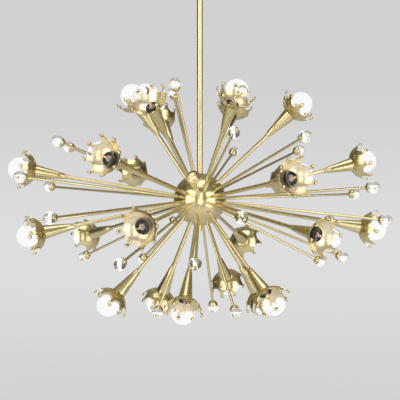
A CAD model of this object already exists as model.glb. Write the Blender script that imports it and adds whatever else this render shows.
"""Sputnik chandelier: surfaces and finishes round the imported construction.

Lengths are metres in the frame of the construction: +Z up, the origin in the middle of the ceiling
crossbar's top face, the front towards -Y.  Azimuths are degrees round the stem from the front towards +X;
latitudes are degrees above the ball's equator.
"""
import math

import bpy
from bpy.props import FloatProperty, FloatVectorProperty, IntProperty, PointerProperty
from mathutils import Matrix, Vector


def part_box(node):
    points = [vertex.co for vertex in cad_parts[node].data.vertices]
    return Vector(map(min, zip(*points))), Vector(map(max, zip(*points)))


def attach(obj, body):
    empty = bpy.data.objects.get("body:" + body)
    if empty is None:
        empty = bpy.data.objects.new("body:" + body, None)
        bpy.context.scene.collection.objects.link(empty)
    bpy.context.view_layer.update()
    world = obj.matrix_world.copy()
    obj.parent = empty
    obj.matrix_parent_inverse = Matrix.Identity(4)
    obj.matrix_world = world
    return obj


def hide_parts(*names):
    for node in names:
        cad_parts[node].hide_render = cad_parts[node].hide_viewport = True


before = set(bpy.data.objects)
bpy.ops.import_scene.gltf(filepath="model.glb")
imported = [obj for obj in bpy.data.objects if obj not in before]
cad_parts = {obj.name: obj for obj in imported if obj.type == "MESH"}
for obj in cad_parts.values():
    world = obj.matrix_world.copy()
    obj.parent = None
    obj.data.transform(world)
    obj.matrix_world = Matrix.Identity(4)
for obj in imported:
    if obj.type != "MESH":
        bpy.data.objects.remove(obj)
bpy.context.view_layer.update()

bl_info = {
    "name": "Sputnik chandelier",
    "version": (1, 0, 0),
    "blender": (4, 5, 0),
    "location": "View3D > Sidebar > Chandelier",
    "description": "Models and finishes a sputnik chandelier round its construction",
    "category": "Object",
}

MM = 0.001
FIXED_BODY = "ceiling_mount"
HANGING_BODY = "chandelier"
SLIP_FIT = 0.05 * MM

# Light arms of each ring: azimuth, latitude, reach, and the cup's turn about its arm.
LIGHT_RINGS = {
    "upper_long": [(-27.5, 11, "long_reach", 8), (30, 5, "long_reach", 30), (105, 13, "long_reach", 8),
                   (148.5, 8, "long_reach", 30), (-152.5, 11.5, "long_reach", 8), (-84, 9.5, "long_reach", 8)],
    "upper_short": [(-27, 42, "middle_reach", 8), (90, 43.5, "middle_reach", 8), (-153, 42, "middle_reach", 8),
                    (30, 54, "short_reach", 20), (149.5, 55.5, "short_reach", 20), (-90, 57, "short_reach", 20)],
    "lower_long": [(-78, -12, "left_reach", 6), (-16, -9.5, "long_reach", 8), (41, -12, "long_reach", 6),
                   (97, -9.5, "long_reach", 8), (164, -14, "long_reach", 6), (-132, -12, "long_reach", 8)],
    "lower_short": [(-75, -48.5, "middle_reach", 10), (47, -46, "middle_reach", 10),
                    (164.5, -40.5, "middle_reach", 10), (-14, -61.5, "short_reach", 15),
                    (105, -57.5, "short_reach", 15), (-135, -59.5, "short_reach", 15)],
}

# Glass-tipped rods of each ring: reach, then azimuth and latitude of each rod.
ROD_RINGS = {
    "upper_level": ("level_reach", [(0, 4), (57, 2.5), (120, 2.5), (179, 3.5), (241, 5), (301, 5.5)]),
    "lower_level": ("level_reach", [(12, -6), (68, -6.5), (132, -6), (191, -6), (253, -7), (317.5, -6)]),
    "upper_slant": ("slant_reach", [(13.5, 21), (43.5, 21), (132.5, 21.5), (166, 22), (255, 21.5), (285, 21.5)]),
    "lower_slant": ("slant_reach", [(-29, -23.5), (0, -23), (84, -22), (116, -24.5), (208.5, -24),
                                    (242, -22.5)]),
    "upper_steep": ("steep_reach", [(-27, 65.5), (114, 67), (216, 66.5)]),
    "lower_steep": ("steep_reach", [(45, -65.5), (165, -66), (300, -67)]),
}


def length(name, millimetres, about):
    return FloatProperty(name=name, description=about, default=millimetres * MM, unit="LENGTH", precision=4)


def colour(name, rgb, about):
    return FloatVectorProperty(name=name, description=about, default=rgb, subtype="COLOR", size=3, min=0, max=1)


# ---------------------------------------------------------------- what a user would change

class ChandelierSizes(bpy.types.PropertyGroup):
    """Real sizes of the chandelier's pieces."""
    long_reach: length("Long reach", 398, "Ball's centre to bulb centre on the long arms")
    left_reach: length("Left reach", 381, "Ball's centre to bulb centre on the lower long arm at the left")
    middle_reach: length("Middle reach", 306, "Ball's centre to bulb centre on the middle arms")
    short_reach: length("Short reach", 274, "Ball's centre to bulb centre on the short arms")
    level_reach: length("Level rod reach", 420, "Ball's centre to glass ball centre, nearly level rods")
    slant_reach: length("Slanting rod reach", 337, "Ball's centre to glass ball centre, slanting rods")
    steep_reach: length("Steep rod reach", 267, "Ball's centre to glass ball centre, steep rods")
    arm_radius: length("Arm radius", 4, "Light arm tube")
    arm_wall: length("Arm wall", 0.8, "Light arm tube wall")
    arm_inner_end: length("Arm inner end", 47, "Inner end of arms and rods, from the ball's centre")
    arm_in_cone: length("Arm in cone", 24, "Length of the arm tube inside the cone")
    ball_radius: length("Ball radius", 57.5, "Central ball")
    ball_wall: length("Ball wall", 1.5, "Sheet of the central ball")
    seam_width: length("Seam width", 0.9, "Rounded edge of each half of the ball at its equator")
    stem_radius: length("Stem radius", 6.35, "Half-inch stem tube")
    stem_wall: length("Stem wall", 1.2, "Stem tube wall")
    finial_radius: length("Finial radius", 4, "Small tube under the ball")
    bulb_radius: length("Bulb radius", 26, "Globe bulb")
    bulb_glass: length("Bulb glass", 0.8, "Thickness of the bulb's glass")
    bulb_neck_radius: length("Bulb neck radius", 5.9, "Neck of the bulb's glass")
    bulb_neck_end: length("Bulb neck end", 30, "Bulb centre down to the end of its neck")
    cone_narrow_end: length("Cone narrow end", 98, "Bulb centre down to the cone's narrow end")
    cone_wide_end: length("Cone wide end", 35, "Bulb centre down to the cone's wide end")
    cone_narrow_radius: length("Cone narrow radius", 6.5, "Cone's narrow end")
    cone_wide_radius: length("Cone wide radius", 15, "Cone's wide end")
    cone_wall: length("Cone wall", 0.9, "Cone sheet")
    cone_collar_radius: length("Cone collar radius", 5.3, "Short collar behind the cone's shoulder")
    cone_collar_length: length("Cone collar length", 5, "Short collar behind the cone's shoulder")
    cup_radius: length("Cup radius", 42, "Outside radius of the bowl")
    cup_centre: length("Cup centre", 5, "Bowl's centre beyond the bulb's centre")
    cup_wall: length("Cup wall", 1.1, "Bowl sheet")
    cup_rim: length("Cup rim", 10, "Bowl's centre down to the tips of its rim")
    cup_hole_radius: length("Cup hole radius", 11.7, "Hole in the bowl for the socket")
    bite_radius: length("Scallop radius", 12.5, "Round scallop in the cup's rim")
    bite_centre: length("Scallop centre", 12.5, "Bowl's centre down to a scallop's centre")
    prong_tip_radius: length("Prong tip radius", 4, "Round tip of a prong")
    socket_radius: length("Socket radius", 11.4, "Black socket body")
    socket_top: length("Socket top", 29, "Bulb centre down to the socket's mouth")
    socket_length: length("Socket length", 37, "Black socket body")
    ring_radius: length("Ring radius", 14, "Grooved black socket ring")
    ring_height: length("Ring height", 4.6, "Grooved black socket ring")
    cap_radius: length("Cap radius", 6, "Screw cap of the bulb")
    rod_radius: length("Rod radius", 2.75, "Rod of a glass ball")
    stud_radius: length("Stud radius", 1.5, "Thin end of the rod, inside the glass")
    stud_length: length("Stud length", 8, "Thin end of the rod")
    glass_radius: length("Glass radius", 12.7, "Glass ball")
    dish_radius: length("Dish radius", 10.4, "Brass cap behind the glass ball")
    dish_top: length("Dish top", 7.5, "Glass ball's centre down to the brass cap's rim")
    canopy_radius: length("Canopy radius", 63.5, "Canopy rim")
    canopy_depth: length("Canopy depth", 26, "Canopy from ceiling to its flat foot")
    canopy_foot_radius: length("Canopy foot radius", 22, "Flat foot of the canopy")
    canopy_wall: length("Canopy wall", 1.2, "Canopy sheet")
    collar_radius: length("Collar radius", 9, "Collar under the canopy")
    collar_height: length("Collar height", 8, "Collar under the canopy")
    nipple_radius: length("Nipple radius", 5, "Threaded tube through crossbar, canopy and collar")
    prongs: IntProperty(name="Prongs", description="Prongs round the rim of a cup", default=8, min=3)


class ChandelierFinishes(bpy.types.PropertyGroup):
    """Colours of the chandelier's finishes."""
    brass: colour("Brass", (0.77, 0.665, 0.37), "Satin brass of the ball, stem, arms and cups' outside")
    brass_shade: colour("Brass shade", (0.69, 0.58, 0.30), "Darker clouds in the satin brass")
    warm_brass: colour("Warm brass", (0.94, 0.83, 0.62), "Polished inside of the cups")
    pale_seat: colour("Pale seat", (0.93, 0.91, 0.82), "Bright polished seat under a glass ball")
    black: colour("Black", (0.008, 0.007, 0.006), "Sockets and socket rings")
    zinc: colour("Zinc", (0.56, 0.57, 0.58), "Zinc-plated steel of hidden fittings")
    copper: colour("Copper", (0.95, 0.55, 0.34), "Wires in the bulb")
    glass: colour("Glass", (1.0, 1.0, 1.0), "Glass of bulbs and balls")
    mount_glass: colour("Glass mount", (0.92, 0.64, 0.50), "Copper-toned glass mount inside the bulb")


class ChandelierStudio(bpy.types.PropertyGroup):
    """Camera and light."""
    camera_distance: length("Camera distance", 2486, "From the ball's centre to the camera")
    camera_azimuth: FloatProperty(name="Camera azimuth", description="Round the stem from the front",
                                  default=math.radians(1.5), subtype="ANGLE")
    camera_elevation: FloatProperty(name="Camera elevation", description="Above the ball's centre",
                                    default=math.radians(-1.5), subtype="ANGLE")
    lens: FloatProperty(name="Lens", description="Focal length on a 36 mm sensor, in millimetres", default=101.7)
    floor_height: length("Floor height", -2400, "Floor below the ceiling")
    backdrop_top: colour("Backdrop top", (0.638, 0.638, 0.638), "Backdrop at the top of the view")
    backdrop_middle: colour("Backdrop middle", (0.730, 0.730, 0.730), "Backdrop at its brightest")
    backdrop_bottom: colour("Backdrop bottom", (0.617, 0.617, 0.617), "Backdrop at the bottom of the view")
    floor: colour("Floor", (0.62, 0.62, 0.62), "Pale floor")
    floor_glow: FloatProperty(name="Floor glow", default=0.3,
                              description="Brings the floor nearer to the backdrop's tone")


def sizes():
    return bpy.context.scene.chandelier_sizes


def finishes():
    return bpy.context.scene.chandelier_finishes


def studio():
    return bpy.context.scene.chandelier_studio


# ---------------------------------------------------------------- places, worked out from the frame

BALL_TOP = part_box("ball_upper_half")[1].z
BALL_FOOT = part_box("ball_lower_half")[0].z
BALL_CENTRE = Vector((0, 0, (BALL_TOP + BALL_FOOT) / 2))


def along_arm(azimuth, latitude, distance, spin=0.0):
    """Puts a piece made about +Z on the line of an arm, its X axis level before the spin about the arm."""
    turn = math.radians(azimuth)
    rise = math.radians(latitude)
    out = Vector((math.sin(turn) * math.cos(rise), -math.cos(turn) * math.cos(rise), math.sin(rise)))
    level = Vector((math.cos(turn), math.sin(turn), 0))
    basis = Matrix((level, out.cross(level), out)).transposed().to_4x4()
    spun = Matrix.Rotation(math.radians(spin), 4, "Z")
    return Matrix.Translation(BALL_CENTRE + out * distance) @ basis @ spun


def light_places(ring):
    """Bulb centres of a ring's light arms, with +Z out along the arm."""
    return [along_arm(azimuth, latitude, getattr(sizes(), reach), spin)
            for azimuth, latitude, reach, spin in LIGHT_RINGS[ring]]


def all_light_places():
    return [place for ring in LIGHT_RINGS for place in light_places(ring)]


def rod_places(ring):
    """Glass ball centres of a ring's rods, with +Z out along the rod."""
    reach, lines = ROD_RINGS[ring]
    return [along_arm(azimuth, latitude, getattr(sizes(), reach)) for azimuth, latitude in lines]


# ---------------------------------------------------------------- modelling by hand

def deselect():
    if bpy.context.object is not None and bpy.context.object.mode != "OBJECT":
        bpy.ops.object.mode_set(mode="OBJECT")
    bpy.ops.object.select_all(action="DESELECT")


def select(*pieces):
    deselect()
    for piece in pieces:
        piece.select_set(True)
    bpy.context.view_layer.objects.active = pieces[0]


def start(name):
    """The primitive just added becomes a named piece, open in edit mode with all of it selected."""
    piece = bpy.context.object
    piece.name = name
    piece.data.name = name
    bpy.ops.object.mode_set(mode="EDIT")
    bpy.ops.mesh.select_all(action="SELECT")
    return piece


def tidy(piece, smooth_angle=40):
    """Doubles merged, normals outwards, and smooth except at real edges."""
    bpy.ops.object.mode_set(mode="EDIT")
    bpy.ops.mesh.select_all(action="SELECT")
    bpy.ops.mesh.remove_doubles(threshold=0.01 * MM)
    bpy.ops.mesh.normals_make_consistent(inside=False)
    bpy.ops.object.mode_set(mode="OBJECT")
    select(piece)
    bpy.ops.object.shade_smooth_by_angle(angle=math.radians(smooth_angle))
    return piece


def apply(piece, kind, **settings):
    """Adds one modifier with these settings and applies it."""
    select(piece)
    modifier = piece.modifiers.new(kind.title(), kind)
    for key, value in settings.items():
        setattr(modifier, key, value)
    bpy.ops.object.modifier_apply(modifier=modifier.name)
    return piece


def turned(name, outline, segments=32, closed=True, smooth_angle=40):
    """Draws a ring out along an outline of (radius, height) stations, as on a lathe.

    A closed outline joins its last station to its first; an open one has its ends on the axis or filled.
    """
    deselect()
    radius, height = outline[0]
    bpy.ops.mesh.primitive_circle_add(vertices=segments, radius=radius)
    piece = start(name)
    bpy.ops.transform.translate(value=(0, 0, height))
    if not closed:
        bpy.ops.mesh.edge_face_add()
    stations = list(outline[1:]) + ([outline[0]] if closed else [])
    for next_radius, next_height in stations:
        bpy.ops.mesh.extrude_edges_move(TRANSFORM_OT_translate={"value": (0, 0, next_height - height)})
        factor = next_radius / radius
        bpy.ops.transform.resize(value=(factor, factor, 1), center_override=(0, 0, next_height))
        radius, height = next_radius, next_height
    if not closed:
        bpy.ops.mesh.edge_face_add()
    return tidy(piece, smooth_angle)


def arc(centre_radius, centre_height, radius, first, last, steps):
    """Stations on an arc of an outline; angles in degrees from outwards towards up."""
    turns = [math.radians(first + (last - first) * step / steps) for step in range(steps + 1)]
    return [(centre_radius + radius * math.cos(turn), centre_height + radius * math.sin(turn))
            for turn in turns]


def globe(name, radius, segments, rings):
    deselect()
    bpy.ops.mesh.primitive_uv_sphere_add(segments=segments, ring_count=rings, radius=radius)
    return start(name)


def cut_level(height, keep_above):
    """Cuts the open mesh at a height and clears one side of the cut."""
    bpy.ops.mesh.select_all(action="SELECT")
    bpy.ops.mesh.bisect(plane_co=(0, 0, height), plane_no=(0, 0, 1), use_fill=False,
                        clear_inner=keep_above, clear_outer=not keep_above)


def repeat(pattern, name, places):
    """Copies of a pattern, each with its own mesh, set in their places and joined; the pattern goes."""
    copies = []
    for place in places:
        copy = bpy.data.objects.new(name, pattern.data.copy())
        bpy.context.scene.collection.objects.link(copy)
        copy.data.transform(place)
        copies.append(copy)
    select(*copies)
    if len(copies) > 1:
        bpy.ops.object.join()
    whole = bpy.context.object
    whole.name = name
    whole.data.name = name
    return whole


def drop(pattern):
    bpy.data.objects.remove(pattern)


def finish(piece, node, body):
    """The piece stands for a node of the construction, and moves with its body."""
    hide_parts(node)
    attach(piece, body)


def on_light_rings(pattern, kind):
    """Puts a pattern on every light arm, one piece for each ring's node."""
    for ring in LIGHT_RINGS:
        whole = repeat(pattern, f"{ring}_{kind}_piece", light_places(ring))
        finish(whole, f"{ring}_{kind}", HANGING_BODY)
    drop(pattern)


# ---------------------------------------------------------------- materials

def material(name):
    """A new node material with its shader: (material, nodes, links, shader)."""
    made = bpy.data.materials.new(name)
    made.use_nodes = True
    tree = made.node_tree
    return made, tree.nodes, tree.links, tree.nodes["Principled BSDF"]


def noise(nodes, links, scale, detail=3.0, stretch=(1, 1, 1)):
    """Noise on object coordinates."""
    place = nodes.new("ShaderNodeTexCoord")
    mapping = nodes.new("ShaderNodeMapping")
    mapping.inputs["Scale"].default_value = stretch
    pattern = nodes.new("ShaderNodeTexNoise")
    pattern.inputs["Scale"].default_value = scale
    pattern.inputs["Detail"].default_value = detail
    links.new(place.outputs["Object"], mapping.inputs["Vector"])
    links.new(mapping.outputs["Vector"], pattern.inputs["Vector"])
    return pattern.outputs["Fac"]


def ramp(nodes, links, factor, first, second, low=0.3, high=0.7):
    """Two colours spread over part of a factor."""
    spread = nodes.new("ShaderNodeValToRGB")
    spread.color_ramp.elements[0].position = low
    spread.color_ramp.elements[1].position = high
    spread.color_ramp.elements[0].color = (*first, 1)
    spread.color_ramp.elements[1].color = (*second, 1)
    links.new(factor, spread.inputs["Fac"])
    return spread.outputs["Color"]


def between(nodes, links, factor, low, high):
    """A factor mapped to a range."""
    span = nodes.new("ShaderNodeMapRange")
    span.inputs["To Min"].default_value = low
    span.inputs["To Max"].default_value = high
    links.new(factor, span.inputs["Value"])
    return span.outputs["Result"]


def bump(nodes, links, shader, height, strength, distance):
    relief = nodes.new("ShaderNodeBump")
    relief.inputs["Strength"].default_value = strength
    relief.inputs["Distance"].default_value = distance
    links.new(height, relief.inputs["Height"])
    links.new(relief.outputs["Normal"], shader.inputs["Normal"])


def metal(name, light, dark, smooth, rough, grain_scale, grain_strength, coat_weight=0.0):
    """Metal with faint clouds of tone, uneven gloss and a fine grain, under lacquer where it has a coat."""
    made, nodes, links, shader = material(name)
    shader.inputs["Metallic"].default_value = 1.0
    shader.inputs["Coat Weight"].default_value = coat_weight
    shader.inputs["Coat Roughness"].default_value = 0.12
    clouds = noise(nodes, links, 22.0)
    links.new(ramp(nodes, links, clouds, dark, light), shader.inputs["Base Color"])
    wear = noise(nodes, links, 140.0, detail=4.0)
    links.new(between(nodes, links, wear, smooth, rough), shader.inputs["Roughness"])
    grain = noise(nodes, links, grain_scale, detail=2.0)
    bump(nodes, links, shader, grain, grain_strength, 0.05 * MM)
    return made


def satin_brass():
    return metal("satin_brass_finish", finishes().brass, finishes().brass_shade, 0.18, 0.24, 400.0, 0.02,
                 coat_weight=0.6)


def polished_brass():
    return metal("polished_brass_finish", finishes().warm_brass, finishes().brass, 0.26, 0.34, 400.0, 0.02,
                 coat_weight=0.6)


def bright_seat():
    pale = finishes().pale_seat
    return metal("bright_seat_finish", pale, [0.95 * part for part in pale], 0.08, 0.16, 900.0, 0.02)


def zinc_steel():
    grey = finishes().zinc
    return metal("zinc_steel_finish", grey, [0.8 * part for part in grey], 0.3, 0.45, 1500.0, 0.2)


def copper_wire():
    tone = finishes().copper
    return metal("copper_wire_finish", tone, [0.85 * part for part in tone], 0.2, 0.3, 1500.0, 0.1)


def black_plastic():
    """Matt black with a fine moulded grain."""
    made, nodes, links, shader = material("socket_black_finish")
    tone = finishes().black
    clouds = noise(nodes, links, 60.0)
    links.new(ramp(nodes, links, clouds, tone, [2.2 * part for part in tone]), shader.inputs["Base Color"])
    grain = noise(nodes, links, 2500.0)
    links.new(between(nodes, links, grain, 0.45, 0.6), shader.inputs["Roughness"])
    bump(nodes, links, shader, grain, 0.1, 0.05 * MM)
    return made


def clear_glass(name, index, ripple):
    """Clear glass whose surface waves a little."""
    made, nodes, links, shader = material(name)
    shader.inputs["Transmission Weight"].default_value = 1.0
    shader.inputs["IOR"].default_value = index
    waves = noise(nodes, links, 70.0, detail=1.0)
    tone = finishes().glass
    links.new(ramp(nodes, links, waves, [0.985 * part for part in tone], tone), shader.inputs["Base Color"])
    links.new(between(nodes, links, waves, 0.0, 0.02), shader.inputs["Roughness"])
    bump(nodes, links, shader, waves, ripple, 0.2 * MM)
    return made


def milky_glass():
    """The copper-toned glass that carries the wires inside a bulb."""
    made, nodes, links, shader = material("glass_mount_finish")
    streaks = noise(nodes, links, 300.0)
    tone = finishes().mount_glass
    links.new(ramp(nodes, links, streaks, [0.5 * part for part in tone], tone), shader.inputs["Base Color"])
    links.new(between(nodes, links, streaks, 0.08, 0.2), shader.inputs["Roughness"])
    shader.inputs["Transmission Weight"].default_value = 0.15
    return made


MATERIALS = {}


def finish_of(slot):
    """The one material of each finish, made when it is first asked for."""
    makers = {"satin_brass": satin_brass, "polished_brass": polished_brass,
              "bright_seat": bright_seat, "zinc_steel": zinc_steel, "copper": copper_wire,
              "socket_black": black_plastic, "mount_glass": milky_glass,
              "bulb_glass": lambda: clear_glass("bulb_glass_finish", 1.06, 0.01),
              "ball_glass": lambda: clear_glass("ball_glass_finish", 1.5, 0.10)}
    if slot not in MATERIALS:
        MATERIALS[slot] = makers[slot]()
    return MATERIALS[slot]


def coat(piece, *slots):
    piece.data.materials.clear()
    for slot in slots:
        piece.data.materials.append(finish_of(slot))
    return piece


def coat_node(node, slot):
    """A node that keeps its shape gets the finish in its own slots."""
    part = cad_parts[node]
    if not part.data.materials:
        part.data.materials.append(None)
    for index in range(len(part.data.materials)):
        part.data.materials[index] = finish_of(slot)


class ChandelierOperator:
    bl_options = {"REGISTER", "UNDO"}


# ---------------------------------------------------------------- ceiling fitting and stem

class MakeCanopy(ChandelierOperator, bpy.types.Operator):
    """Canopy, collar and the zinc fittings inside them"""
    bl_idname = "chandelier.make_canopy"
    bl_label = "Canopy"

    def execute(self, context):
        s = sizes()
        hole = s.nipple_radius + 0.4 * MM
        swell = s.canopy_radius - s.canopy_foot_radius
        rim = -0.3 * MM
        outside = [(s.canopy_foot_radius + swell * math.sin(turn), -s.canopy_depth * math.cos(turn) ** 1.4)
                   for turn in [math.radians(9 * step) for step in range(10)]]
        inside = [(radius - s.canopy_wall, min(height + s.canopy_wall * 0.9, rim)) for radius, height in outside]
        outline = [(hole, -s.canopy_depth), *outside[:-1], (s.canopy_radius, rim * 6), (s.canopy_radius, rim)]
        outline += [(s.canopy_radius - s.canopy_wall, rim), (s.canopy_radius - s.canopy_wall, rim * 6)]
        outline += [*reversed(inside[:-1]), (hole, -s.canopy_depth + s.canopy_wall)]
        canopy = coat(turned("canopy_piece", outline, segments=96), "satin_brass")
        finish(canopy, "canopy", FIXED_BODY)
        bottom = -s.canopy_depth - s.collar_height
        round_edge = 1.2 * MM
        collar = turned("canopy_collar_piece", [
            (s.nipple_radius + SLIP_FIT, bottom),
            *arc(s.collar_radius - round_edge, bottom + round_edge, round_edge, -90, 0, 5),
            *arc(s.collar_radius - round_edge, -s.canopy_depth - round_edge, round_edge, 0, 90, 5),
            (s.nipple_radius + SLIP_FIT, -s.canopy_depth),
        ], segments=48)
        finish(coat(collar, "satin_brass"), "canopy_collar", FIXED_BODY)
        for node in ("ceiling_crossbar", "ground_screw", "mount_nipple", "nipple_nut"):
            coat_node(node, "zinc_steel")
        return {"FINISHED"}


class MakeSwivel(ChandelierOperator, bpy.types.Operator):
    """Brass yokes and link of the hang-straight swivel, with steel pins"""
    bl_idname = "chandelier.make_swivel"
    bl_label = "Swivel"

    def execute(self, context):
        for node in ("swivel_yoke_upper", "swivel_link", "swivel_yoke_lower"):
            coat_node(node, "satin_brass")
        for node in ("swivel_pins_upper", "swivel_pins_lower"):
            coat_node(node, "zinc_steel")
        return {"FINISHED"}


class MakeStem(ChandelierOperator, bpy.types.Operator):
    """Two lengths of half-inch tube with softly rounded ends"""
    bl_idname = "chandelier.make_stem"
    bl_label = "Stem"

    def execute(self, context):
        s = sizes()
        edge = 0.35 * MM
        for node in ("stem_upper", "stem_lower"):
            low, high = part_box(node)
            bore = s.stem_radius - s.stem_wall
            tube = turned(f"{node}_piece", [
                (bore, low.z), (s.stem_radius - edge, low.z), (s.stem_radius, low.z + edge),
                (s.stem_radius, high.z - edge), (s.stem_radius - edge, high.z), (bore, high.z)], segments=48)
            finish(coat(tube, "satin_brass"), node, HANGING_BODY)
        coat_node("stem_coupling", "zinc_steel")
        return {"FINISHED"}


# ---------------------------------------------------------------- ball

class MakeBall(ChandelierOperator, bpy.types.Operator):
    """Central ball of two sheet hemispheres that meet in a fine seam, and the tube under it"""
    bl_idname = "chandelier.make_ball"
    bl_label = "Ball"

    def execute(self, context):
        self.make_half("ball_upper_half", True)
        self.make_half("ball_lower_half", False)
        self.make_finial()
        for node in ("centre_tube", "centre_nut", "bottom_coupler"):
            coat_node(node, "zinc_steel")
        return {"FINISHED"}

    def make_half(self, node, upper):
        s = sizes()
        half = globe(f"{node}_piece", s.ball_radius, 128, 64)
        cut_level(0, upper)
        bpy.ops.mesh.select_all(action="SELECT")
        bpy.ops.mesh.region_to_loop()
        lip = s.seam_width / 3
        way = 1 if upper else -1
        for step in (1, 2, 3):
            inward = 1 - 0.2 * lip * step * step / s.ball_radius
            bpy.ops.transform.translate(value=(0, 0, way * lip / 3 if step == 1 else 0))
            bpy.ops.mesh.extrude_edges_move(TRANSFORM_OT_translate={"value": (0, 0, -way * lip / 9)})
            bpy.ops.transform.resize(value=(inward, inward, 1), center_override=(0, 0, 0))
        tidy(half)
        apply(half, "SOLIDIFY", thickness=s.ball_wall, offset=-1, use_even_offset=True)
        half.data.transform(Matrix.Translation(BALL_CENTRE))
        tidy(half)
        finish(coat(half, "satin_brass"), node, HANGING_BODY)

    def make_finial(self):
        low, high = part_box("bottom_finial")
        s = sizes()
        edge = 0.6 * MM
        bore = 2.4 * MM
        finial = turned("bottom_finial_piece", [
            (bore, low.z), *arc(s.finial_radius - edge, low.z + edge, edge, -90, 0, 4),
            (s.finial_radius, high.z), (bore, high.z)])
        finish(coat(finial, "satin_brass"), "bottom_finial", HANGING_BODY)


# ---------------------------------------------------------------- light arms

class MakeArms(ChandelierOperator, bpy.types.Operator):
    """Thin tubes from the ball to the cones"""
    bl_idname = "chandelier.make_arms"
    bl_label = "Light arms"

    def execute(self, context):
        s = sizes()
        for ring, arms in LIGHT_RINGS.items():
            tubes = []
            for azimuth, latitude, reach, spin in arms:
                end = getattr(s, reach) - s.cone_narrow_end + s.arm_in_cone
                bore = s.arm_radius - s.arm_wall
                tube = turned("arm_tube", [(bore, 0), (s.arm_radius, 0), (s.arm_radius, end - s.arm_inner_end),
                                           (bore, end - s.arm_inner_end)], segments=28)
                tube.data.transform(along_arm(azimuth, latitude, s.arm_inner_end))
                tubes.append(tube)
            select(*tubes)
            bpy.ops.object.join()
            whole = bpy.context.object
            whole.name = f"{ring}_arm_tubes_piece"
            finish(coat(whole, "satin_brass"), f"{ring}_arm_tubes", HANGING_BODY)
        coat_node("light_arm_nuts", "zinc_steel")
        return {"FINISHED"}


class MakeCones(ChandelierOperator, bpy.types.Operator):
    """Trumpet cones with a collar, a chamfered shoulder and a turned-in wide end"""
    bl_idname = "chandelier.make_cones"
    bl_label = "Cones"

    def execute(self, context):
        s = sizes()
        bore = s.arm_radius + SLIP_FIT
        narrow = -s.cone_narrow_end
        wide = -s.cone_wide_end
        shoulder = 2 * MM
        edge = 0.5 * MM
        outline = [
            (bore, narrow - s.cone_collar_length),
            *arc(s.cone_collar_radius - edge, narrow - s.cone_collar_length + edge, edge, -90, 0, 3),
            (s.cone_collar_radius, narrow - edge),
            (s.cone_collar_radius + 0.15 * MM, narrow),
            (s.cone_narrow_radius - edge, narrow + shoulder - edge),
            (s.cone_narrow_radius + 0.2 * edge, narrow + shoulder + edge),
        ]
        rise = wide - edge - outline[-1][1]
        spread = s.cone_wide_radius - outline[-1][0]
        foot = outline[-1]
        outline += [(foot[0] + spread * part, foot[1] + rise * part)
                    for part in (0.25, 0.5, 0.75, 0.97, 1.0)]
        outline += [(s.cone_wide_radius - edge, wide), (s.cone_wide_radius - s.cone_wall, wide)]
        outline += [(s.cone_narrow_radius - s.cone_wall, narrow + shoulder + MM), (bore, narrow + shoulder + MM)]
        pattern = coat(turned("cone_pattern", outline, segments=40), "satin_brass")
        on_light_rings(pattern, "cones")
        return {"FINISHED"}


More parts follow.
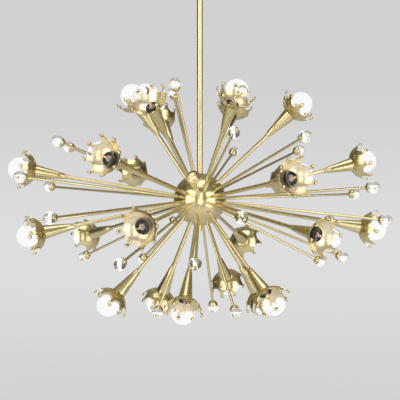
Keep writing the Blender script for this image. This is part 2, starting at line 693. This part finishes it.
class MakeCups(ChandelierOperator, bpy.types.Operator):
    """Thin bowls whose rim is cut into round-tipped prongs: satin outside, polished inside"""
    bl_idname = "chandelier.make_cups"
    bl_label = "Cups"

    rows = 12
    scallop_steps = 9

    def execute(self, context):
        s = sizes()
        bowl = self.make_bowl()
        apply(bowl, "SOLIDIFY", thickness=s.cup_wall, offset=-1, use_even_offset=True)
        tips = self.prong_tips()
        coat(bowl, "satin_brass", "polished_brass")
        for face in bowl.data.polygons:
            inwards = face.normal.dot(face.center) < 0
            face.material_index = 1 if inwards and face.center.length < s.cup_radius - 0.5 * s.cup_wall else 0
        tidy(bowl)
        coat(tips, "satin_brass", "polished_brass")
        select(bowl, tips)
        bpy.ops.object.join()
        bowl.data.transform(Matrix.Translation((0, 0, s.cup_centre)))
        on_light_rings(bowl, "cups")
        return {"FINISHED"}

    def rim(self):
        """Angle from a prong's middle, and height, of each column's top end, all round the bowl."""
        s = sizes()
        half = math.pi / s.prongs
        spread = []
        for step in range(self.scallop_steps + 1):
            turn = math.radians(83) * step / self.scallop_steps
            height = -s.bite_centre - s.bite_radius * math.cos(turn)
            across = s.bite_radius * math.sin(turn)
            spread.append((half - math.asin(across / math.sqrt(s.cup_radius ** 2 - height ** 2)), height))
        prong_edge = spread[-1][0] * 0.93
        side = [(0.5 * prong_edge, -s.cup_rim), (prong_edge, -s.cup_rim), *reversed(spread)]
        sector = [(-angle, height) for angle, height in reversed(side[:-1])] + [(0, -s.cup_rim)] + side
        return [(angle + 2 * half * number, height) for number in range(s.prongs) for angle, height in sector]

    def make_bowl(self):
        """A thin tube of rows and columns, drawn on to the bowl's sphere up to its scalloped rim."""
        s = sizes()
        rim = self.rim()
        deselect()
        bpy.ops.mesh.primitive_circle_add(vertices=len(rim), radius=s.cup_radius)
        bowl = start("cup_pattern")
        for row in range(self.rows):
            bpy.ops.mesh.extrude_edges_move(TRANSFORM_OT_translate={"value": (0, 0, MM)})
        bpy.ops.object.mode_set(mode="OBJECT")
        hole = -math.acos(s.cup_hole_radius / s.cup_radius)
        for corner in bowl.data.vertices:
            column = round(math.atan2(corner.co.y, corner.co.x) / math.tau * len(rim)) % len(rim)
            angle, height = rim[column]
            rise = hole + (math.asin(height / s.cup_radius) - hole) * round(corner.co.z / MM) / self.rows
            corner.co = (s.cup_radius * math.cos(rise) * math.cos(angle),
                         s.cup_radius * math.cos(rise) * math.sin(angle), s.cup_radius * math.sin(rise))
        return tidy(bowl)

    def prong_tips(self):
        """Round tips, a little drawn out, that sit on the ends of the prongs."""
        s = sizes()
        rim = math.sqrt(s.cup_radius ** 2 - s.cup_rim ** 2) - s.cup_wall / 2
        tips = []
        for number in range(s.prongs):
            tip = globe("prong_tip", s.prong_tip_radius, 20, 12)
            bpy.ops.transform.resize(value=(0.6, 1.12, 1.12), center_override=(0, 0, 0))
            bpy.ops.object.mode_set(mode="OBJECT")
            tip.data.transform(Matrix.Rotation(math.tau / s.prongs * number, 4, "Z")
                               @ Matrix.Translation((rim, 0, -s.cup_rim)))
            tips.append(tip)
        select(*tips)
        bpy.ops.object.join()
        return tidy(bpy.context.object)


class MakeSockets(ChandelierOperator, bpy.types.Operator):
    """Black sockets and the grooved rings that clamp the cups"""
    bl_idname = "chandelier.make_sockets"
    bl_label = "Sockets"

    def execute(self, context):
        s = sizes()
        self.make_sockets(s)
        self.make_rings(s)
        return {"FINISHED"}

    def make_sockets(self, s):
        top = -s.socket_top
        bore = s.cap_radius + 0.2 * MM
        bore_bottom = top - 24 * MM
        mouth = 1.2 * MM
        foot = top - s.socket_length
        tail_end = foot - 8 * MM
        heel = 0.72 * s.socket_radius
        wires = 3.2 * MM
        edge = 0.8 * MM
        neck = s.arm_radius + MM
        pattern = turned("socket_pattern", [
            (wires, tail_end),
            (neck, tail_end),
            (neck, foot),
            (heel - edge, foot),
            (heel, foot + edge),
            (heel, top - 0.45 * s.socket_length),
            (s.socket_radius, top - 0.25 * s.socket_length),
            *arc(s.socket_radius - edge, top - edge, edge, 0, 90, 3),
            (bore + mouth, top),
            (bore, top - mouth),
            (bore, bore_bottom),
            (wires, bore_bottom),
        ], segments=40)
        on_light_rings(coat(pattern, "socket_black"), "sockets")

    def make_rings(self, s):
        top = -s.socket_top + 0.6 * MM
        low = top - s.ring_height
        edge = 1.0 * MM
        sides = 72
        groove_depth = 0.35 * MM
        ring = turned("ring_pattern", [
            (s.socket_radius + SLIP_FIT, low),
            *arc(s.ring_radius - edge, low + edge, edge, -90, 0, 3),
            *arc(s.ring_radius - edge, top - edge, edge, 0, 90, 4),
            (s.socket_radius + SLIP_FIT, top),
        ], segments=sides)
        for corner in ring.data.vertices:
            outer = math.hypot(corner.co.x, corner.co.y)
            groove = round(math.atan2(corner.co.y, corner.co.x) / math.tau * sides) % 2
            if groove and outer > s.ring_radius - 0.5 * edge:
                corner.co.xy *= 1 - groove_depth / outer
        coat(ring, "socket_black")
        whole = repeat(ring, "socket_rings_piece", all_light_places())
        drop(ring)
        finish(whole, "socket_rings", HANGING_BODY)


class MakeBulbs(ChandelierOperator, bpy.types.Operator):
    """Clear globe bulbs of thin glass drawn in to a neck"""
    bl_idname = "chandelier.make_bulbs"
    bl_label = "Bulbs"

    def execute(self, context):
        s = sizes()
        bulb = globe("bulb_pattern", s.bulb_radius, 64, 40)
        shoulder = -0.92 * s.bulb_radius
        cut_level(shoulder, True)
        bpy.ops.mesh.select_all(action="SELECT")
        bpy.ops.mesh.region_to_loop()
        radius = math.sqrt(s.bulb_radius ** 2 - shoulder ** 2)
        height = shoulder
        for next_radius, next_height in ((0.33, 0.96), (0.27, 1.02), (0.235, 1.09)):
            drop_by = -next_height * s.bulb_radius - height
            bpy.ops.mesh.extrude_edges_move(TRANSFORM_OT_translate={"value": (0, 0, drop_by)})
            factor = next_radius * s.bulb_radius / radius
            bpy.ops.transform.resize(value=(factor, factor, 1), center_override=(0, 0, 0))
            radius, height = next_radius * s.bulb_radius, height + drop_by
        bpy.ops.mesh.extrude_edges_move(TRANSFORM_OT_translate={"value": (0, 0, -s.bulb_neck_end - height)})
        factor = s.bulb_neck_radius / radius
        bpy.ops.transform.resize(value=(factor, factor, 1), center_override=(0, 0, 0))
        tidy(bulb)
        apply(bulb, "SOLIDIFY", thickness=s.bulb_glass, offset=-1, use_even_offset=True)
        tidy(bulb, 70)
        on_light_rings(coat(bulb, "bulb_glass"), "bulb_globes")
        self.clear_shadows()
        coat_node("bulb_screw_caps", "zinc_steel")
        return {"FINISHED"}

    def clear_shadows(self):
        """Thin clear glass casts next to no shadow, so the cups stay bright inside."""
        for ring in LIGHT_RINGS:
            bpy.data.objects[f"{ring}_bulb_globes_piece"].visible_shadow = False


class MakeFilaments(ChandelierOperator, bpy.types.Operator):
    """Glass mount, copper leads in a V and a looped filament inside each bulb"""
    bl_idname = "chandelier.make_filaments"
    bl_label = "Filaments"

    def execute(self, context):
        s = sizes()
        low = -s.bulb_neck_end + 0.1 * MM
        mount = turned("filament_pattern", [
            (4.6 * MM, low), (4.2 * MM, low + 2 * MM), (3.0 * MM, low + 6 * MM), (2.3 * MM, low + 11 * MM),
            (2.1 * MM, low + 15 * MM), (1.4 * MM, low + 17 * MM), (0.4 * MM, low + 17.6 * MM),
        ], segments=24, closed=False)
        coat(mount, "mount_glass")
        leads = [self.lead(side) for side in (-1, 1)]
        loops = self.loops()
        select(mount, *leads, loops)
        bpy.ops.object.join()
        pattern = bpy.context.object
        whole = repeat(pattern, "bulb_filaments_piece", all_light_places())
        drop(pattern)
        finish(whole, "bulb_filaments", HANGING_BODY)
        return {"FINISHED"}

    def lead(self, side):
        """A wire that rises from the mount and leans out."""
        points = [(0.9, -14.5), (1.4, -11.0), (3.0, -6.5), (5.4, -2.4)]
        return self.wire("lead", [(side * across * MM, 0, height * MM) for across, height in points], 0.42 * MM)

    def loops(self):
        """The filament hangs between the leads in three shallow loops."""
        points = []
        for step in range(19):
            across = -5.4 + 10.8 * step / 18
            lift = 2.2 * math.sin(math.pi * step / 18) + 0.9 * abs(math.sin(math.pi * step / 6))
            points.append((across * MM, 0, (lift - 2.4) * MM))
        return self.wire("filament", points, 0.35 * MM)

    def wire(self, name, points, radius):
        """A round wire drawn out from its first point to its last."""
        deselect()
        bpy.ops.mesh.primitive_circle_add(vertices=8, radius=radius, fill_type="NGON")
        piece = start(name)
        bpy.ops.transform.translate(value=points[0])
        for before, after in zip(points, points[1:]):
            step = Vector(after) - Vector(before)
            bpy.ops.mesh.extrude_region_move(TRANSFORM_OT_translate={"value": step})
        bpy.ops.object.mode_set(mode="OBJECT")
        tidy(piece, 80)
        return coat(piece, "copper")


# ---------------------------------------------------------------- glass-tipped rods

class MakeRods(ChandelierOperator, bpy.types.Operator):
    """Slim rods with a thin stud at the outer end"""
    bl_idname = "chandelier.make_rods"
    bl_label = "Rods"

    def execute(self, context):
        s = sizes()
        for ring, (reach, lines) in ROD_RINGS.items():
            shoulder = getattr(s, reach) - s.glass_radius - 0.15 * MM - s.arm_inner_end
            edge = 0.3 * MM
            pattern = turned("rod_pattern", [
                (s.rod_radius - edge, 0), (s.rod_radius, edge), (s.rod_radius, shoulder - edge),
                (s.rod_radius - edge, shoulder), (s.stud_radius, shoulder),
                (s.stud_radius, shoulder + s.stud_length - edge),
                (s.stud_radius - edge, shoulder + s.stud_length),
            ], segments=24, closed=False)
            coat(pattern, "satin_brass")
            places = [along_arm(azimuth, latitude, s.arm_inner_end) for azimuth, latitude in lines]
            whole = repeat(pattern, f"{ring}_rods_piece", places)
            drop(pattern)
            finish(whole, f"{ring}_rods", HANGING_BODY)
        coat_node("rod_nuts", "zinc_steel")
        return {"FINISHED"}


class MakeGlassBalls(ChandelierOperator, bpy.types.Operator):
    """Solid glass balls, each with a blind hole for its rod's stud"""
    bl_idname = "chandelier.make_glass_balls"
    bl_label = "Glass balls"

    def execute(self, context):
        s = sizes()
        hole = s.stud_radius + 0.08 * MM
        ball = globe("glass_pattern", s.glass_radius, 56, 36)
        mouth = -math.sqrt(s.glass_radius ** 2 - hole ** 2)
        cut_level(mouth, True)
        bpy.ops.mesh.select_all(action="SELECT")
        bpy.ops.mesh.region_to_loop()
        depth = s.stud_length + 0.6 * MM
        bpy.ops.mesh.extrude_edges_move(TRANSFORM_OT_translate={"value": (0, 0, depth)})
        bpy.ops.mesh.edge_face_add()
        tidy(ball, 50)
        coat(ball, "ball_glass")
        for ring in ROD_RINGS:
            whole = repeat(ball, f"{ring}_glass_balls_piece", rod_places(ring))
            finish(whole, f"{ring}_glass_balls", HANGING_BODY)
        drop(ball)
        return {"FINISHED"}


class MakeDishes(ChandelierOperator, bpy.types.Operator):
    """Small round-backed brass caps that hold the glass balls"""
    bl_idname = "chandelier.make_dishes"
    bl_label = "Ball caps"

    def execute(self, context):
        s = sizes()
        bore = s.rod_radius + SLIP_FIT
        seat = s.glass_radius + 0.12 * MM
        rim_turn = -math.degrees(math.asin(s.dish_top / seat))
        back_turn = -math.degrees(math.acos(bore / s.dish_radius))
        seat_turn = -math.degrees(math.acos(bore / seat))
        outline = arc(0, -s.dish_top, s.dish_radius, back_turn, -3, 12)
        outline += arc(0, 0, seat, rim_turn, seat_turn, 10)
        dish = turned("dish_pattern", outline, segments=36, smooth_angle=50)
        pattern = coat(dish, "satin_brass", "bright_seat")
        for face in pattern.data.polygons:
            seat_side = abs(face.center.length - seat) < 0.1 * MM and face.normal.dot(face.center) < 0
            face.material_index = 1 if seat_side else 0
        places = [place for name in ROD_RINGS for place in rod_places(name)]
        whole = repeat(pattern, "glass_ball_dishes_piece", places)
        drop(pattern)
        finish(whole, "glass_ball_dishes", HANGING_BODY)
        return {"FINISHED"}


# ---------------------------------------------------------------- stage

LAMP_DISTANCE = 2.6
FLOOR_RADIUS = 7
CAMERA_SHIFT = (0.0005, -0.00125)
PLAIN_LIGHT = (0.18, 0.18, 0.18)
GLASS_LIGHT_STRENGTH = 0.97

# Soft lamps: azimuth, elevation, width and height in metres, and power in watts.
LAMPS = {"left_box": (-40, 7, 1.94, 2.9, 38), "middle_box": (4, 3, 0.9, 2.4, 12),
         "right_box": (50, 0, 1.84, 2.9, 36), "top_box": (0, 75, 1.8, 1.8, 18)}

# Light that metal sees: stops from straight down to straight up, multiplied by stops from front to back.
STUDIO_BY_HEIGHT = [(0.0, (0.40, 0.35, 0.29)), (0.42, (0.30, 0.26, 0.21)), (0.50, (0.15, 0.13, 0.10)),
                    (0.62, (0.12, 0.105, 0.08)), (0.80, (0.27, 0.25, 0.21)), (1.0, (0.45, 0.43, 0.40))]
STUDIO_BY_DEPTH = [(0.0, (1.0, 1.0, 1.0)), (0.35, (0.9, 0.9, 0.9)), (0.55, (0.45, 0.45, 0.45)),
                   (0.75, (0.8, 0.8, 0.8)), (1.0, (1.5, 1.5, 1.5))]

# Where glass sees white in place of the studio: from front to back.
WHITE_BEHIND = [(0.40, (0.0, 0.0, 0.0)), (0.55, (1.0, 1.0, 1.0))]

class MakeStage(ChandelierOperator, bpy.types.Operator):
    """Pale floor, soft lamps, plain backdrop and the camera"""
    bl_idname = "chandelier.make_stage"
    bl_label = "Stage"

    def execute(self, context):
        context.scene.view_settings.view_transform = "Standard"
        self.make_camera()
        self.make_floor()
        self.make_world()
        self.make_lamps()
        return {"FINISHED"}

    def make_camera(self):
        st = studio()
        deselect()
        level = math.cos(st.camera_elevation)
        back = Vector((math.sin(st.camera_azimuth) * level, -math.cos(st.camera_azimuth) * level,
                       math.sin(st.camera_elevation)))
        bpy.ops.object.camera_add(location=BALL_CENTRE + back * st.camera_distance)
        camera = bpy.context.object
        camera.rotation_mode = "QUATERNION"
        camera.rotation_quaternion = (-back).to_track_quat("-Z", "Y")
        camera.data.lens = st.lens
        camera.data.shift_x, camera.data.shift_y = CAMERA_SHIFT
        camera.data.clip_end = 100
        bpy.context.scene.camera = camera

    def make_floor(self):
        deselect()
        bpy.ops.mesh.primitive_circle_add(vertices=96, radius=FLOOR_RADIUS, fill_type="NGON",
                                          location=(0, 0, studio().floor_height))
        floor = bpy.context.object
        floor.name = "studio_floor"
        made, nodes, links, shader = material("studio_floor_paint")
        tone = studio().floor
        clouds = noise(nodes, links, 1.5)
        links.new(ramp(nodes, links, clouds, [0.97 * part for part in tone], tone), shader.inputs["Base Color"])
        shader.inputs["Roughness"].default_value = 0.8
        shader.inputs["Emission Color"].default_value = (1, 1, 1, 1)
        links.new(self.floor_glow(nodes, links), shader.inputs["Emission Strength"])
        floor.data.materials.append(made)

    def floor_glow(self, nodes, links):
        """The floor looks pale to the camera, and to metal and glass, without lighting the chandelier."""
        path = nodes.new("ShaderNodeLightPath")
        seen = path.outputs["Is Camera Ray"]
        for ray in ("Is Glossy Ray", "Is Transmission Ray"):
            either = nodes.new("ShaderNodeMath")
            either.operation = "MAXIMUM"
            links.new(seen, either.inputs[0])
            links.new(path.outputs[ray], either.inputs[1])
            seen = either.outputs[0]
        glow = nodes.new("ShaderNodeMath")
        glow.operation = "MULTIPLY"
        links.new(seen, glow.inputs[0])
        glow.inputs[1].default_value = studio().floor_glow
        return glow.outputs[0]

    def make_world(self):
        """The camera sees a grey sweep.

        Metal sees a warm studio, darkest near the horizon.
        Glass sees that studio at the front, and white behind.
        """
        st = studio()
        world = bpy.data.worlds.new("studio")
        bpy.context.scene.world = world
        world.use_nodes = True
        nodes = world.node_tree.nodes
        links = world.node_tree.links
        nodes.clear()
        place = nodes.new("ShaderNodeTexCoord")
        split = nodes.new("ShaderNodeSeparateXYZ")
        links.new(place.outputs["Generated"], split.inputs["Vector"])
        path = nodes.new("ShaderNodeLightPath")
        seen = self.sweep(nodes, links, split.outputs["Z"], -0.20, 0.13, [
            (0.0, st.backdrop_bottom), (0.55, st.backdrop_middle), (1.0, st.backdrop_top)])
        height = self.sweep(nodes, links, split.outputs["Z"], -1.0, 1.0, STUDIO_BY_HEIGHT)
        depth = self.sweep(nodes, links, split.outputs["Y"], -1.0, 1.0, STUDIO_BY_DEPTH)
        studio_light = nodes.new("ShaderNodeMixRGB")
        studio_light.blend_type = "MULTIPLY"
        studio_light.inputs["Fac"].default_value = 1.0
        links.new(height, studio_light.inputs["Color1"])
        links.new(depth, studio_light.inputs["Color2"])
        plain = self.shade(nodes, links, None, PLAIN_LIGHT, 1.0)
        for_metal = self.shade(nodes, links, studio_light.outputs["Color"], None, 1.0)
        behind = self.sweep(nodes, links, split.outputs["Y"], -1.0, 1.0, WHITE_BEHIND)
        through_glass = nodes.new("ShaderNodeMixRGB")
        links.new(behind, through_glass.inputs["Fac"])
        links.new(studio_light.outputs["Color"], through_glass.inputs["Color1"])
        through_glass.inputs["Color2"].default_value = (1, 1, 1, 1)
        for_glass = self.shade(nodes, links, through_glass.outputs["Color"], None, GLASS_LIGHT_STRENGTH)
        for_camera = self.shade(nodes, links, seen, None, 1.0)
        light = self.choose(nodes, links, path.outputs["Is Glossy Ray"], plain, for_metal)
        light = self.choose(nodes, links, path.outputs["Is Transmission Ray"], light, for_glass)
        light = self.choose(nodes, links, path.outputs["Is Camera Ray"], light, for_camera)
        output = nodes.new("ShaderNodeOutputWorld")
        links.new(light, output.inputs["Surface"])

    def sweep(self, nodes, links, factor, low, high, stops):
        """Colours spread smoothly over a range of a direction's part."""
        span = nodes.new("ShaderNodeMapRange")
        span.inputs["From Min"].default_value = low
        span.inputs["From Max"].default_value = high
        links.new(factor, span.inputs["Value"])
        spread = nodes.new("ShaderNodeValToRGB")
        points = spread.color_ramp.elements
        while len(points) < len(stops):
            points.new(0.5)
        for point, (position, tone) in zip(points, stops):
            point.position = position
            point.color = (*tone, 1)
        spread.color_ramp.interpolation = "EASE"
        links.new(span.outputs["Result"], spread.inputs["Fac"])
        return spread.outputs["Color"]

    def shade(self, nodes, links, tone_from, tone, strength):
        background = nodes.new("ShaderNodeBackground")
        background.inputs["Strength"].default_value = strength
        if tone_from is None:
            background.inputs["Color"].default_value = (*tone, 1)
        else:
            links.new(tone_from, background.inputs["Color"])
        return background.outputs["Background"]

    def choose(self, nodes, links, factor, otherwise, chosen):
        mix = nodes.new("ShaderNodeMixShader")
        links.new(factor, mix.inputs["Fac"])
        links.new(otherwise, mix.inputs[1])
        links.new(chosen, mix.inputs[2])
        return mix.outputs["Shader"]

    def make_lamps(self):
        """Three tall soft boxes stand at the front, and one hangs overhead."""
        for name, settings in LAMPS.items():
            self.make_lamp(name, *settings)

    def make_lamp(self, name, azimuth, elevation, width, height, power):
        deselect()
        turn, rise = math.radians(azimuth), math.radians(elevation)
        back = Vector((math.sin(turn) * math.cos(rise), -math.cos(turn) * math.cos(rise), math.sin(rise)))
        bpy.ops.object.light_add(type="AREA", location=BALL_CENTRE + back * LAMP_DISTANCE)
        lamp = bpy.context.object
        lamp.name = name
        lamp.rotation_mode = "QUATERNION"
        lamp.rotation_quaternion = (-back).to_track_quat("-Z", "Y")
        lamp.data.shape = "RECTANGLE"
        lamp.data.size = width
        lamp.data.size_y = height
        lamp.data.energy = power
        lamp.visible_camera = False


# ---------------------------------------------------------------- panel and registration

OPERATORS = (MakeStage, MakeCanopy, MakeSwivel, MakeStem, MakeBall, MakeArms, MakeCones, MakeCups, MakeSockets,
             MakeBulbs, MakeFilaments, MakeRods, MakeGlassBalls, MakeDishes)


class ChandelierPanel(bpy.types.Panel):
    """The chandelier's pieces in the order they are made"""
    bl_idname = "VIEW3D_PT_chandelier"
    bl_label = "Sputnik chandelier"
    bl_space_type = "VIEW_3D"
    bl_region_type = "UI"
    bl_category = "Chandelier"

    def draw(self, context):
        for group in ("chandelier_sizes", "chandelier_finishes", "chandelier_studio"):
            box = self.layout.box()
            owner = getattr(context.scene, group)
            for name in owner.bl_rna.properties.keys():
                if name not in ("rna_type", "name"):
                    box.prop(owner, name)
        for operator in OPERATORS:
            self.layout.operator(operator.bl_idname)


CLASSES = (ChandelierSizes, ChandelierFinishes, ChandelierStudio, *OPERATORS, ChandelierPanel)


def register():
    for made in CLASSES:
        bpy.utils.register_class(made)
    bpy.types.Scene.chandelier_sizes = PointerProperty(type=ChandelierSizes)
    bpy.types.Scene.chandelier_finishes = PointerProperty(type=ChandelierFinishes)
    bpy.types.Scene.chandelier_studio = PointerProperty(type=ChandelierStudio)


def unregister():
    del bpy.types.Scene.chandelier_studio
    del bpy.types.Scene.chandelier_finishes
    del bpy.types.Scene.chandelier_sizes
    for made in reversed(CLASSES):
        bpy.utils.unregister_class(made)


def main():
    register()
    for operator in OPERATORS:
        area, name = operator.bl_idname.split(".")
        getattr(getattr(bpy.ops, area), name)()


if __name__ == "__main__":
    main()
